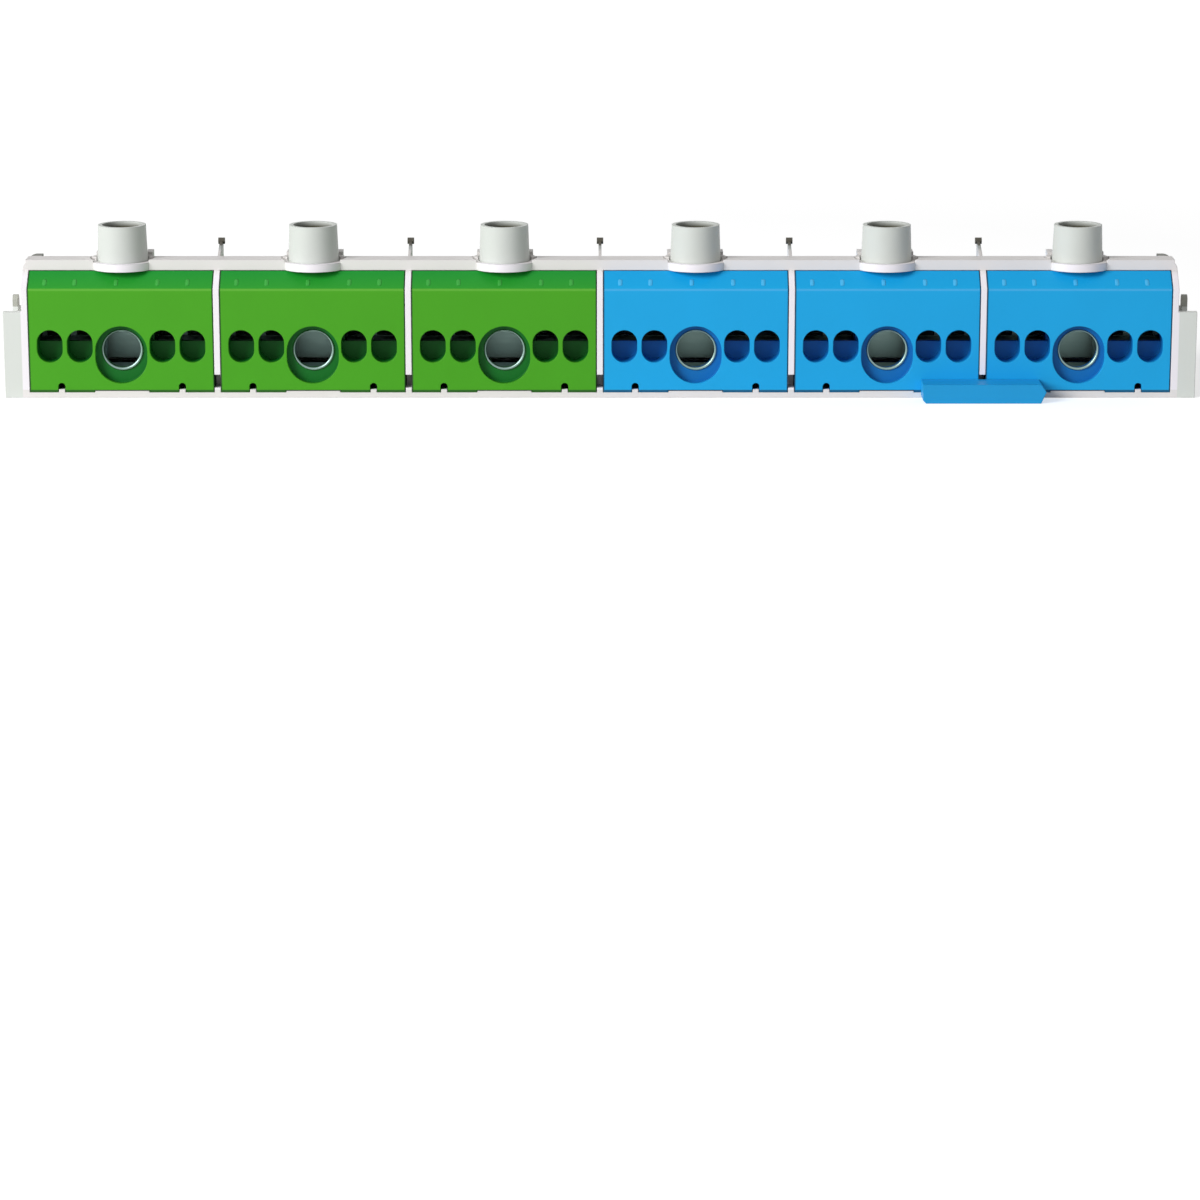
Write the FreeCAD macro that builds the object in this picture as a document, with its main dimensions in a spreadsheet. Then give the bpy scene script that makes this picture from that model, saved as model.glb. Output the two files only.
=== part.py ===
# Earth and neutral terminal bar: six clamp blocks in one moulded carrier, the last two bridged.
# Each piece is modelled with the blocks' front face at y = 0 and the underside at z = 0, x = 0 being
# the middle of the bar or of one block; y grows to the rear. Millimetres.
import FreeCAD, Part
import os
import re
import Sketcher

# Driving sizes. A clearance is named for what it keeps free.
SIZES = {
    # clearances
    "play": 0.1,              # round a piece that seats in another
    "running": 0.2,           # round a piece that moves
    # carrier
    "depth": 20.0,            # front of the ledge to the rear of the back wall
    "ledge": 0.9,
    "divider": 1.0,           # wall between two blocks
    "end_wall": 1.0,
    "back_wall": 1.2,
    "back_drop": 0.65,        # back wall below the tops of the blocks
    "flange_set": 0.15,       # flange behind the rear edge of the sloping band
    "flange_depth": 4.1,
    "flange_thick": 1.75,
    "corner_radius": 1.7,     # flange rounded down into the end walls
    "hook_reach": 2.7,        # rim behind the flange at each end
    "boss_wall": 0.6,         # round the seat of a guide sleeve
    "boss_height": 1.3,
    "lug_width": 1.0,         # small lugs on the rear of each boss
    "lug_depth": 3.0,
    "lug_rise": 0.5,
    "lug_x": 4.2,
    "lug_set": 2.6,           # behind the axis of the sleeve
    "fin_thick": 0.5,         # stem on each divider
    "fin_depth": 1.2,
    "fin_y": 13.0,
    "fin_rise": 1.7,
    "bead": 1.1,              # bead at the tip of the stem
    "lip_width": 9.0,         # low lip in front of each block
    "lip_height": 0.25,
    "lip_thick": 0.5,
    "nub_width": 1.0,         # stops under the two notches of a block
    "nub_height": 0.5,
    "nub_depth": 1.0,
    "slot_bottom": 1.7,       # slot in the front edge of a divider
    "slot_height": 2.2,
    "slot_depth": 3.0,
    "window_width": 4.4,      # window in the back wall for a block's latch
    "latch_drop": 2.55,       # latch below the top of the block
    "latch_height": 0.9,
    "latch_width": 4.0,
    "latch_reach": 0.9,
    "latch_x": 10.0,
    "ear_width": 3.1,         # front plate beyond each end wall
    "ear_height": 14.5,
    "ear_plate": 1.3,
    "rail_gap": 1.2,          # upright rail behind each front plate
    "rail_thick": 0.9,
    "rail_front": 5.0,
    "rail_depth": 2.0,
    "rail_height": 16.5,
    "rail_radius": 0.9,
    # guide sleeve
    "sleeve_bore": 6.6,
    "sleeve_wall": 0.7,
    "sleeve_draft": 0.25,
    "sleeve_rise": 7.3,       # above the underside of the flange
    "collar_height": 0.45,
    "collar_width": 0.45,
    # terminal block
    "roof": 0.9,
    "band_height": 2.55,      # sloping band above the upright face
    "band_depth": 3.05,
    "block_floor": 2.0,
    "side_wall": 0.5,
    "partition": 0.6,
    "cheek": 1.33,            # last push-in entry to the side of the block
    "front_wall": 2.5,        # in front of the clamp
    "wire_hole": 6.3,
    "wire_sill": 0.55,        # hole above the floor of the open cage
    "mouth_width": 8.7,
    "mouth_height": 9.7,
    "mouth_drop": 0.75,       # centre of the sunk mouth below that of the hole
    "mouth_depth": 1.5,
    "push_wall": 4.5,         # in front of the push-in contacts
    "entry_width": 4.3,
    "entry_height": 5.5,
    "entry_above": 0.7,       # centre of a push-in entry above that of the wire hole
    "entry_wall": 0.72,       # between two entries
    "entry_depth": 3.7,       # to the sill, which lifts the wire over the shelf
    "sill_rise": 0.3,         # sill above the centre of the entry
    # busbar
    "bar_thick": 1.5,
    "bar_gap": 3.3,           # behind the cage
    "bar_bottom": 4.5,
    "bar_top": 15.0,
    "tongue_thick": 1.4,
    "tongue_set": 0.7,        # tip of the tongue behind the front wall
    "shelf_set": 2.0,         # shelves behind the wall of the push-in entries
    "shelf_step": 0.65,       # shelves below the sills
    "leg_x": 10.1,
    "leg_width": 2.6,
    # push-in springs
    "spring_thick": 0.4,
    "spring_width": 3.4,
    "spring_reach": 5.3,
    "spring_top": 16.6,
    "spring_foot": 12.5,
    "spring_back": 1.9,       # pressing edge in front of the rear leg
    "spring_lift": 0.35,      # pressing edge above the shelf
    # clamp cage and screw
    "cage_wall": 1.0,
    "cage_side": 0.15,        # wire hole to the side walls of the cage
    "cage_depth": 6.6,
    "cage_floor": 1.2,
    "cage_room": 7.85,        # clear height inside
    "cage_top": 1.4,
    "cage_travel": 4.0,
    "cage_round": 0.5,
    "screw_size": 5.0,
    "head_size": 6.8,
    "head_height": 2.1,
    "drive_width": 1.0,
    "drive_length": 5.2,
    "drive_depth": 1.3,
    # bridge
    "cover_proud": 5.2,
    "cover_height": 3.15,
    "cover_end": 3.85,        # beyond the prongs
    "cover_tip": 0.85,        # pointed right end
    "cover_rise": 1.9,        # point above the underside
    "cover_chamfer": 0.5,
    "link_thick": 0.65,
    "link_width": 1.0,
    "link_bar": 1.6,
    "link_front": 1.7,        # cross bar behind the front of the cover
}
WAYS = range(6)
ALONG_X, ALONG_Y, ALONG_Z = (FreeCAD.Vector(*way) for way in ((1, 0, 0), (0, 1, 0), (0, 0, 1)))

# Places that follow from the sizes. z grows upwards from the underside.
BLOCK_BOTTOM = "ledge"
BAY_BOTTOM = "(ledge + block_floor)"
CAGE_BOTTOM = f"({BAY_BOTTOM} + running)"
CAGE_INSIDE = f"({CAGE_BOTTOM} + cage_floor)"
CAGE_ROOF = f"({CAGE_INSIDE} + cage_room)"
CAGE_UP = f"({CAGE_ROOF} + cage_top)"
BAY_TOP = f"({CAGE_UP} + cage_travel + running)"
HEAD_UP = f"({BAY_TOP} + head_height)"
BLOCK_TOP = f"({HEAD_UP} + running + roof)"
FACE_TOP = f"({BLOCK_TOP} - band_height)"
FLANGE_BOTTOM = f"({BLOCK_TOP} + play)"
FLANGE_TOP = f"({FLANGE_BOTTOM} + flange_thick)"
BACK_TOP = f"({BLOCK_TOP} - back_drop)"
WIRE_Z = f"({CAGE_INSIDE} + wire_sill + wire_hole/2)"
MOUTH_Z = f"({WIRE_Z} - mouth_drop)"
ENTRY_Z = f"({WIRE_Z} + entry_above)"
SILL = f"({ENTRY_Z} + sill_rise)"
TONGUE_TOP = f"({CAGE_ROOF} - play)"
SHELF_TOP = f"({SILL} - shelf_step)"
LINK_BOTTOM = "(ledge + nub_height + play)"
LINK_TOP = f"({LINK_BOTTOM} + link_thick)"
NOTCH_TOP = f"({LINK_TOP} + play)"
LATCH_BOTTOM = f"({BLOCK_TOP} - latch_drop)"
# y grows to the rear from the front face of the blocks.
AXIS_Y = "(front_wall + running + cage_depth/2)"
BAR_FRONT = "(front_wall + running + cage_depth + bar_gap)"
BAR_BACK = f"({BAR_FRONT} + bar_thick)"
BLOCK_BACK = "(depth - back_wall - play)"
FLANGE_FRONT = "(band_depth + flange_set)"
FLANGE_BACK = f"({FLANGE_FRONT} + flange_depth)"
CENTRE_Y = "((cover_proud - depth)/2)"
# x is measured from the middle of a block.
CAGE_IN = "(wire_hole/2 + cage_side)"
CAGE_OUT = f"({CAGE_IN} + cage_wall)"
BAY_X = f"({CAGE_OUT} + running)"
PARTITION_X = f"({BAY_X} + partition)"
PUSH_1 = f"({PARTITION_X} + play + spring_width/2)"
PUSH_2 = f"({PUSH_1} + entry_width + entry_wall)"
BLOCK_X = f"({PUSH_2} + entry_width/2 + cheek)"
SIDE_BAY_X = f"({BLOCK_X} - side_wall)"
BAR_X = f"({SIDE_BAY_X} - play)"
PITCH = f"(2*{BLOCK_X} + 2*play + divider)"
NOTCH_HALF = "(link_width/2 + play)"
NOTCH_PEAK = f"({NOTCH_TOP} + link_width/4)"
# x along the whole bar.
END_IN = f"({len(WAYS)}*{PITCH}/2 - divider/2)"
END_OUT = f"({END_IN} + end_wall)"
EAR_OUT = f"({END_OUT} + ear_width)"
PRONG = f"({PITCH}/2 - leg_x)"
COVER_HALF = f"({PRONG} + link_width/2 + cover_end)"
# radii of the sleeve and its seat
SLEEVE_TIP = "(sleeve_bore/2 + sleeve_wall)"
SLEEVE_FOOT = f"({SLEEVE_TIP} + sleeve_draft)"
COLLAR = f"({SLEEVE_FOOT} + collar_width)"
SEAT = f"({COLLAR} + play)"
BOSS = f"({SEAT} + boss_wall)"

doc = FreeCAD.newDocument("terminal_bar")
sheet = doc.addObject("Spreadsheet::Sheet", "Sizes")
for row, (alias, size) in enumerate(SIZES.items(), start=1):
    sheet.set(f"A{row}", alias)
    sheet.set(f"B{row}", str(size))
    sheet.setAlias(f"B{row}", alias)
doc.recompute()


def bound(text):
    """The expression with every size read from its cell in the sheet."""
    return re.sub(r"[a-z]\w*", lambda word: "Sizes." + word.group(), text)


def value(text):
    return float(sheet.evalExpression(bound(text)))


def way_x(way):
    """Middle of one block along the bar; way may be a half number, for the divider beside it."""
    return f"({way - (len(WAYS) - 1) / 2}*{PITCH})"


def new_body(name):
    return doc.addObject("PartDesign::Body", name)


def new_sketch(body, role, name, offset="0"):
    """A sketch on one of the body's origin planes, moved along that plane's normal."""
    sketch = body.newObject("Sketcher::SketchObject", name)
    sketch.AttachmentSupport = (origin_feature(body, role), [""])
    sketch.MapMode = "FlatFace"
    sketch.setExpression("AttachmentOffset.Base.z", bound(offset))
    return sketch


def front_sketch(body, name, y="0"):
    """x to the right and z upwards, at depth y."""
    return new_sketch(body, "XZ_Plane", name, f"-({y})")


def side_sketch(body, name, x="0"):
    """y to the rear and z upwards, at one x."""
    return new_sketch(body, "YZ_Plane", name, x)


def plan_sketch(body, name, z="0"):
    """x to the right and y to the rear, at height z."""
    return new_sketch(body, "XY_Plane", name, z)


def place_point(sketch, line, end, across, up):
    """Dimension one end of a line from the sketch's origin."""
    for kind, text in (("DistanceX", across), ("DistanceY", up)):
        rule = Sketcher.Constraint(kind, -1, 1, line, end, value(text))
        sketch.setExpression(f"Constraints[{sketch.addConstraint(rule)}]", bound(text))


def polygon(sketch, corners, closed=True):
    first = sketch.GeometryCount
    spots = [FreeCAD.Vector(value(across), value(up), 0) for across, up in corners]
    lines = len(spots) if closed else len(spots) - 1
    for number in range(lines):
        line = Part.LineSegment(spots[number], spots[(number + 1) % len(spots)])
        sketch.addGeometry(line, False)
    for number in range(lines if closed else lines - 1):
        after = (number + 1) % len(spots)
        sketch.addConstraint(Sketcher.Constraint("Coincident", first + number, 2, first + after, 1))
    for number, (across, up) in enumerate(corners):
        if number < lines:
            place_point(sketch, first + number, 1, across, up)
        else:
            place_point(sketch, first + number - 1, 2, across, up)


def rectangle(sketch, left, right, bottom, top):
    polygon(sketch, [(left, bottom), (right, bottom), (right, top), (left, top)])


def circle(sketch, across, up, radius):
    centre = FreeCAD.Vector(value(across), value(up), 0)
    number = sketch.addGeometry(Part.Circle(centre, FreeCAD.Vector(0, 0, 1), value(radius)), False)
    place_point(sketch, number, 3, across, up)
    rule = Sketcher.Constraint("Radius", number, value(radius))
    sketch.setExpression(f"Constraints[{sketch.addConstraint(rule)}]", bound(radius))


def obround(sketch, across, up, width, height):
    """An upright slot shape with round ends."""
    x, y = value(across), value(up)
    radius, half = value(width) / 2, (value(height) - value(width)) / 2
    axis, turn = FreeCAD.Vector(0, 0, 1), 3.141592653589793
    top = Part.Circle(FreeCAD.Vector(x, y + half, 0), axis, radius)
    bottom = Part.Circle(FreeCAD.Vector(x, y - half, 0), axis, radius)
    upper = sketch.addGeometry(Part.ArcOfCircle(top, 0, turn), False)
    lower = sketch.addGeometry(Part.ArcOfCircle(bottom, turn, 2 * turn), False)
    left = sketch.addGeometry(
        Part.LineSegment(FreeCAD.Vector(x - radius, y + half, 0), FreeCAD.Vector(x - radius, y - half, 0)), False)
    right = sketch.addGeometry(
        Part.LineSegment(FreeCAD.Vector(x + radius, y - half, 0), FreeCAD.Vector(x + radius, y + half, 0)), False)
    for one, one_end, other, other_end in (
            (upper, 2, left, 1), (left, 2, lower, 1), (lower, 2, right, 1), (right, 2, upper, 1)):
        sketch.addConstraint(Sketcher.Constraint("Tangent", one, one_end, other, other_end))
    place_point(sketch, upper, 3, across, f"({up}) + (({height}) - ({width}))/2")
    place_point(sketch, lower, 3, across, f"({up}) - (({height}) - ({width}))/2")
    rule = Sketcher.Constraint("Radius", upper, radius)
    sketch.setExpression(f"Constraints[{sketch.addConstraint(rule)}]", bound(f"({width})/2"))


def arch(sketch, across, bottom, top, width):
    """An upright opening with a flat sill and a round top."""
    x, low, shoulder = value(across), value(bottom), value(f"({top}) - ({width})/2")
    radius = value(width) / 2
    rim = Part.Circle(FreeCAD.Vector(x, shoulder, 0), FreeCAD.Vector(0, 0, 1), radius)
    corners = [FreeCAD.Vector(x + side * radius, height, 0)
               for side, height in ((-1, shoulder), (-1, low), (1, low), (1, shoulder))]
    upper = sketch.addGeometry(Part.ArcOfCircle(rim, 0, 3.141592653589793), False)
    left, sill, right = (sketch.addGeometry(Part.LineSegment(start, end), False)
                         for start, end in zip(corners, corners[1:]))
    for kind, *ends in (("Tangent", upper, 2, left, 1), ("Coincident", left, 2, sill, 1),
                        ("Coincident", sill, 2, right, 1), ("Tangent", right, 2, upper, 1),
                        ("Vertical", left), ("Vertical", right), ("Horizontal", sill)):
        sketch.addConstraint(Sketcher.Constraint(kind, *ends))
    place_point(sketch, upper, 3, across, f"({top}) - ({width})/2")
    for rule, size in ((Sketcher.Constraint("Radius", upper, radius), f"({width})/2"),
                       (Sketcher.Constraint("DistanceY", -1, 1, sill, 1, low), bottom)):
        sketch.setExpression(f"Constraints[{sketch.addConstraint(rule)}]", bound(size))


def finish_feature(body, feature, grows):
    """Recompute, and make sure that the feature did what it is for."""
    feature.Refine = False
    before = feature.BaseFeature.Shape.Volume if feature.BaseFeature else 0.0
    doc.recompute()
    change = body.Shape.Volume - before
    if (change > 0) != grows or abs(change) < 1e-6:
        raise RuntimeError(f"{feature.Label} of {body.Label} changed the volume by {change:.6f}")
    return feature


def pad(body, sketch, length, both_sides=False, rearwards=False):
    """Extrude along the plane's normal; rearwards is for front sketches, whose normal faces the front."""
    feature = body.newObject("PartDesign::Pad", sketch.Name + "_pad")
    feature.Profile = sketch
    feature.Reversed = rearwards
    if both_sides:
        feature.SideType = "Symmetric"
    feature.setExpression("Length", bound(length))
    return finish_feature(body, feature, grows=True)


def pocket(body, sketch, length, along_normal=False, both_sides=False):
    """Cut against the plane's normal, which for a front sketch is to the rear."""
    feature = body.newObject("PartDesign::Pocket", sketch.Name + "_pocket")
    feature.Profile = sketch
    feature.Reversed = along_normal
    if both_sides:
        feature.SideType = "Symmetric"
    feature.setExpression("Length", bound(length))
    return finish_feature(body, feature, grows=False)


def revolved(body, sketch):
    """Turn a side sketch round the upright axis of the clamp."""
    axis = sketch.addGeometry(
        Part.LineSegment(FreeCAD.Vector(value(AXIS_Y), 0, 0), FreeCAD.Vector(value(AXIS_Y), 9, 0)), True)
    place_point(sketch, axis, 1, AXIS_Y, "0")
    place_point(sketch, axis, 2, AXIS_Y, "9")
    feature = body.newObject("PartDesign::Revolution", sketch.Name + "_turned")
    feature.Profile = sketch
    feature.ReferenceAxis = (sketch, ["Axis0"])
    feature.Angle = 360
    return finish_feature(body, feature, grows=True)


def origin_feature(body, role):
    return next(item for item in body.Origin.OriginFeatures if item.Role == role)


def repeat_to_the_right(body, count):
    """Repeat all of the body so far, one pitch apart."""
    pattern = body.newObject("PartDesign::LinearPattern", body.Name + "_row")
    pattern.TransformMode = "Whole shape"
    pattern.Direction = (origin_feature(body, "X_Axis"), [""])
    pattern.Occurrences = count
    pattern.setExpression("Length", bound(f"{count - 1}*{PITCH}"))
    body.Tip = pattern
    doc.recompute()
    return body


def mirror_to_the_left(body):
    """Add the mirror image of all of the body so far."""
    mirror = body.newObject("PartDesign::Mirrored", body.Name + "_pair")
    mirror.TransformMode = "Whole shape"
    mirror.MirrorPlane = (origin_feature(body, "YZ_Plane"), [""])
    body.Tip = mirror
    doc.recompute()
    return body


def edges_where(shape, along, test):
    """Names of the straight edges along one direction whose two ends both pass the test."""
    found = []
    for number, edge in enumerate(shape.Edges, start=1):
        ends = [corner.Point for corner in edge.Vertexes]
        if len(ends) == 2 and all(map(test, ends)) and (ends[1] - ends[0]).cross(along).Length < 1e-6:
            found.append(f"Edge{number}")
    return found


def round_edges(body, along, test, radius, name):
    """Fillet the edges along one direction that pass the test."""
    base = body.Tip
    feature = body.newObject("PartDesign::Fillet", name)
    feature.Base = (base, edges_where(base.Shape, along, test))
    feature.setExpression("Radius", bound(radius))
    feature.Refine = False
    doc.recompute()
    return feature


def tidy(body):
    """Merge the faces that lie in one plane after the last feature."""
    body.Tip.Refine = True
    doc.recompute()
    return body


def near(number, text):
    return abs(number - value(text)) < 1e-4


def wall_profile(sketch):
    """Side view that the dividers and the end walls share: upright, band, flange, fall to the rear."""
    polygon(sketch, [
        ("0", "0"), ("0", FACE_TOP), ("band_depth", BLOCK_TOP), (FLANGE_FRONT, BLOCK_TOP),
        (FLANGE_FRONT, FLANGE_TOP), (FLANGE_BACK, FLANGE_TOP), ("depth", BACK_TOP), ("depth", "0")])


def carrier():
    """One moulding: a row of six bays, an end with an ear on either side, and the stems on top."""
    moulding = doc.addObject("Part::MultiFuse", "carrier")
    moulding.Shapes = [carrier_bays(), carrier_ends(), divider_stems()]
    moulding.Refine = True
    doc.recompute()
    return moulding


def carrier_bays():
    """A bay takes one block: ledge, back wall, half a divider on each side, and the flange on top."""
    body = new_body("carrier_bays")
    middle = way_x(0)
    left, right = f"{middle} - {PITCH}/2", f"{middle} + {PITCH}/2"
    ledge = plan_sketch(body, "ledge")
    rectangle(ledge, left, right, "0", "depth")
    pad(body, ledge, "ledge")
    back = plan_sketch(body, "back_wall")
    rectangle(back, left, right, "depth - back_wall", "depth")
    pad(body, back, BACK_TOP)
    flange = front_sketch(body, "flange", FLANGE_FRONT)
    rectangle(flange, left, right, FLANGE_BOTTOM, FLANGE_TOP)
    pad(body, flange, "flange_depth", rearwards=True)
    for side, start in (("left", left), ("right", f"{right} - divider/2")):
        wall = side_sketch(body, f"divider_{side}", start)
        wall_profile(wall)
        pad(body, wall, "divider/2")
    slot = side_sketch(body, "slots", middle)
    rectangle(slot, "0", "slot_depth", "slot_bottom", "slot_bottom + slot_height")
    pocket(body, slot, PITCH, both_sides=True)

    boss = plan_sketch(body, "boss", FLANGE_BOTTOM)
    circle(boss, middle, AXIS_Y, BOSS)
    step = plan_sketch(body, "boss_step", FLANGE_TOP)
    circle(step, middle, AXIS_Y, BOSS)
    lugs = plan_sketch(body, "lugs", FLANGE_BOTTOM)
    hole = plan_sketch(body, "sleeve_hole", FLANGE_BOTTOM)
    circle(hole, middle, AXIS_Y, f"{SLEEVE_FOOT} + play")
    seat = plan_sketch(body, "sleeve_seat", FLANGE_BOTTOM)
    circle(seat, middle, AXIS_Y, SEAT)
    windows = front_sketch(body, "latch_windows", "depth - back_wall")
    lip = plan_sketch(body, "lip", "ledge")
    rectangle(lip, f"{middle} - lip_width/2", f"{middle} + lip_width/2", "0", "lip_thick")
    nubs = plan_sketch(body, "nubs", "ledge")
    ribs = front_sketch(body, "busbar_ribs", f"{BAR_BACK} + play")
    for side in ("-", "+"):
        lug = f"{middle} {side} lug_x"
        rectangle(lugs, f"{lug} - lug_width/2", f"{lug} + lug_width/2",
                  f"{AXIS_Y} + lug_set", f"{AXIS_Y} + lug_set + lug_depth")
        latch = f"{middle} {side} latch_x"
        rectangle(windows, f"{latch} - window_width/2", f"{latch} + window_width/2",
                  f"{LATCH_BOTTOM} - running", f"{LATCH_BOTTOM} + latch_height + running")
        leg = f"{middle} {side} leg_x"
        rectangle(nubs, f"{leg} - nub_width/2", f"{leg} + nub_width/2", "0", "nub_depth")
        rib = f"{middle} {side} ({BAY_X} + partition/2)"
        rectangle(ribs, f"{rib} - partition/2", f"{rib} + partition/2", "bar_bottom + play",
                  "bar_top - play")
    pad(body, boss, "boss_height")
    pocket(body, step, "flange_thick - boss_height")
    pad(body, lugs, "flange_thick + lug_rise")
    pocket(body, hole, "flange_thick + lug_rise", along_normal=True)
    pocket(body, seat, "collar_height", along_normal=True)
    pocket(body, windows, "back_wall")
    pad(body, lip, "lip_height")
    pad(body, nubs, "nub_height")
    pad(body, ribs, f"depth - back_wall/2 - {BAR_BACK} - play", rearwards=True)
    return repeat_to_the_right(tidy(body), len(WAYS))


def carrier_ends():
    """End wall with a front plate and, behind that, an upright rail that a bracket slides on."""
    body = new_body("carrier_ends")
    wall = side_sketch(body, "end_wall", END_IN)
    wall_profile(wall)
    pad(body, wall, "end_wall")
    rim = front_sketch(body, "end_rim", FLANGE_FRONT)
    rectangle(rim, f"{END_OUT} - hook_reach", END_OUT, FLANGE_BOTTOM, FLANGE_TOP)
    pad(body, rim, "flange_depth + hook_reach", rearwards=True)
    foot = plan_sketch(body, "foot")
    rectangle(foot, END_IN, EAR_OUT, "0", "rail_front + rail_depth")
    pad(body, foot, "ledge")
    ear = front_sketch(body, "ear")
    rectangle(ear, END_IN, EAR_OUT, "0", "ear_height")
    pad(body, ear, "ear_plate", rearwards=True)
    inner = f"{END_OUT} + rail_gap"
    rail = front_sketch(body, "rail", "rail_front")
    rectangle(rail, inner, f"{inner} + rail_thick", "0", "rail_height")
    pad(body, rail, "rail_depth", rearwards=True)
    web = front_sketch(body, "web", "rail_front + rail_depth/2")
    rectangle(web, END_IN, inner, "0", "ear_height")
    pad(body, web, "rail_thick", rearwards=True)
    tidy(body)
    round_edges(body, ALONG_Y, lambda at: near(at.x, END_OUT) and near(at.z, FLANGE_TOP),
                "corner_radius", "end_corner")
    round_edges(body, ALONG_X, lambda at: near(at.z, "rail_height"), "rail_radius", "rail_tip")
    return mirror_to_the_left(body)


def divider_stems():
    """A thin sloping stem with a bead at its tip on each divider, behind the flange."""
    body = new_body("divider_stems")
    middle = way_x(0.5)
    stem = side_sketch(body, "stem", middle)
    front, rear, tip = "fin_y - fin_depth/2", "fin_y + fin_depth/2", f"{FLANGE_TOP} + fin_rise"
    polygon(stem, [
        (FLANGE_BACK, FLANGE_BOTTOM), (FLANGE_BACK, FLANGE_TOP), (front, tip), (rear, tip),
        (rear, f"{BACK_TOP} - play")])
    pad(body, stem, "fin_thick", both_sides=True)
    bead = side_sketch(body, "bead", middle)
    circle(bead, "fin_y", tip, "bead/2")
    pad(body, bead, "bead", both_sides=True)
    return repeat_to_the_right(tidy(body), len(WAYS) - 1)


def guide_sleeve():
    """Tapered tube over a screw, with a collar that seats under the boss."""
    body = new_body("guide_sleeve")
    half = side_sketch(body, "section")
    collar_top = f"{FLANGE_BOTTOM} + collar_height"
    polygon(half, [
        (f"{AXIS_Y} + sleeve_bore/2", FLANGE_BOTTOM), (f"{AXIS_Y} + {COLLAR}", FLANGE_BOTTOM),
        (f"{AXIS_Y} + {COLLAR}", collar_top), (f"{AXIS_Y} + {SLEEVE_FOOT}", collar_top),
        (f"{AXIS_Y} + {SLEEVE_TIP}", f"{FLANGE_BOTTOM} + sleeve_rise"),
        (f"{AXIS_Y} + sleeve_bore/2", f"{FLANGE_BOTTOM} + sleeve_rise")])
    revolved(body, half)
    return body


def terminal_block():
    """Moulded housing, open at the rear: a clamp bay between two bays for push-in contacts."""
    body = new_body("terminal_block")
    outline = side_sketch(body, "outline")
    polygon(outline, [
        ("0", BLOCK_BOTTOM), (BLOCK_BACK, BLOCK_BOTTOM), (BLOCK_BACK, BLOCK_TOP),
        ("band_depth", BLOCK_TOP), ("0", FACE_TOP)])
    pad(body, outline, f"2*{BLOCK_X}", both_sides=True)

    bay = front_sketch(body, "clamp_bay", "front_wall")
    rectangle(bay, f"-{BAY_X}", BAY_X, BAY_BOTTOM, BAY_TOP)
    pocket(body, bay, "depth")
    bays = front_sketch(body, "contact_bays", "push_wall")
    rectangle(bays, f"-{SIDE_BAY_X}", f"-{PARTITION_X}", BAY_BOTTOM, BAY_TOP)
    rectangle(bays, PARTITION_X, SIDE_BAY_X, BAY_BOTTOM, BAY_TOP)
    pocket(body, bays, "depth")

    mouth = front_sketch(body, "wire_mouth")
    obround(mouth, "0", MOUTH_Z, "mouth_width", "mouth_height")
    pocket(body, mouth, "mouth_depth")
    hole = front_sketch(body, "wire_hole")
    circle(hole, "0", WIRE_Z, "wire_hole/2")
    pocket(body, hole, "front_wall")
    entries = front_sketch(body, "push_in_entries")
    ways_in = front_sketch(body, "push_in_ways")
    for across in (f"-{PUSH_2}", f"-{PUSH_1}", PUSH_1, PUSH_2):
        obround(entries, across, ENTRY_Z, "entry_width", "entry_height")
        arch(ways_in, across, SILL, f"{ENTRY_Z} + entry_height/2", "entry_width")
    pocket(body, entries, "entry_depth")
    pocket(body, ways_in, "push_wall")

    head = plan_sketch(body, "head_seat", f"{HEAD_UP} + running")
    circle(head, "0", AXIS_Y, "head_size/2 + running")
    pocket(body, head, "head_height + 2*running")
    way_in = front_sketch(body, "head_way", AXIS_Y)
    rectangle(way_in, "-(head_size/2 + running)", "head_size/2 + running", f"{BAY_TOP} - running",
              f"{HEAD_UP} + running")
    pocket(body, way_in, "depth")
    driver = plan_sketch(body, "driver_hole", BLOCK_TOP)
    circle(driver, "0", AXIS_Y, "sleeve_bore/2 - play")
    pocket(body, driver, "roof + running")

    slots = front_sketch(body, "busbar_slots", f"{BAR_FRONT} - play")
    feet = plan_sketch(body, "leg_holes", BAY_BOTTOM)
    notches = front_sketch(body, "notches")
    for side in ("-", "+"):
        wall = f"0 {side} ({BAY_X} + partition/2)"
        rectangle(slots, f"{wall} - partition", f"{wall} + partition", "bar_bottom - play", "bar_top + play")
        leg = f"0 {side} leg_x"
        rectangle(feet, f"{leg} - leg_width/2 - play", f"{leg} + leg_width/2 + play",
                  f"{BAR_FRONT} - play", f"{BAR_BACK} + play")
        arch(notches, leg, BLOCK_BOTTOM, NOTCH_PEAK, f"2*{NOTCH_HALF}")
    pocket(body, slots, "depth")
    pocket(body, feet, "block_floor")
    pocket(body, notches, f"{BAR_BACK} + play")
    lip = plan_sketch(body, "lip_recess", BLOCK_BOTTOM)
    rectangle(lip, "-lip_width/2 - play", "lip_width/2 + play", "0", "lip_thick + play")
    pocket(body, lip, "lip_height + play", along_normal=True)

    for side in ("-", "+"):
        latch = side_sketch(body, "latch_left" if side == "-" else "latch_right", f"0 {side} latch_x")
        polygon(latch, [
            (BLOCK_BACK, LATCH_BOTTOM), (f"{BLOCK_BACK} + latch_reach", LATCH_BOTTOM),
            (f"{BLOCK_BACK} + latch_reach", f"{LATCH_BOTTOM} + latch_height/3"),
            (BLOCK_BACK, f"{LATCH_BOTTOM} + latch_height")])
        pad(body, latch, "latch_width", both_sides=True)
    return tidy(body)


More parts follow.
